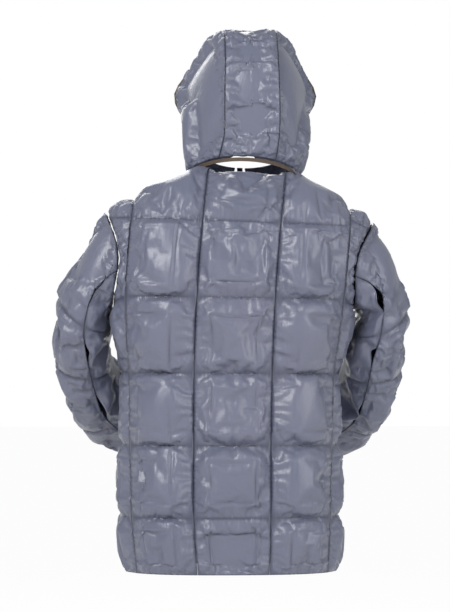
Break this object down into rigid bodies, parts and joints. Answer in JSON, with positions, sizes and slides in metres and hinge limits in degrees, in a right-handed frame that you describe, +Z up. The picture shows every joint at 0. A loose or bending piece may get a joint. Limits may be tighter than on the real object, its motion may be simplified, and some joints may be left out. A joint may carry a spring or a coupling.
{
  "type": "hooded quilted puffer jacket",
  "caption": "Worn, hollow block-quilted puffer jacket with its hood up and its arms bent forward, closed by a front zip.",
  "frame": {"origin": "middle of the neck seam ring, where the wearer's neck and shoulders carry the jacket", "axes": "+Z up, the front faces -Y, the wearer's left arm is at +X"},
  "size_m": [0.6833, 0.3997, 1.0307],
  "materials": {
    "nylon": "glossy down-proof nylon",
    "bronze_tape": "woven bronze-brown tape and coil",
    "dark_tape": "woven zip tape with a nylon coil",
    "zip_metal": "satin plated zinc"
  },
  "bodies": {
    "jacket": {"back_centre": "nylon", "back_left": "nylon", "back_right": "nylon", "back_side_left": "nylon", "back_side_right": "nylon", "front_side_left": "nylon", "front_side_right": "nylon", "front_left": "nylon", "front_right": "nylon", "sleeve_left_upper": "nylon", "sleeve_left_under": "nylon", "sleeve_right_upper": "nylon", "sleeve_right_under": "nylon", "hood_centre": "nylon", "hood_left": "nylon", "hood_right": "nylon", "collar": "nylon", "hood_edge_binding": "bronze_tape", "hood_zip": "bronze_tape", "front_zip": "dark_tape", "zip_slider": "zip_metal"},
    "zip_pull": {"zip_pull": "zip_metal"}
  },
  "joints": [
    {"name": "pull_swing", "type": "hinge", "parent": "jacket", "child": "zip_pull", "pos_m": [0.00811, -0.09492, -0.0055], "axis": [-1, 0, 0], "range_deg": [0, 100]}
  ]
}
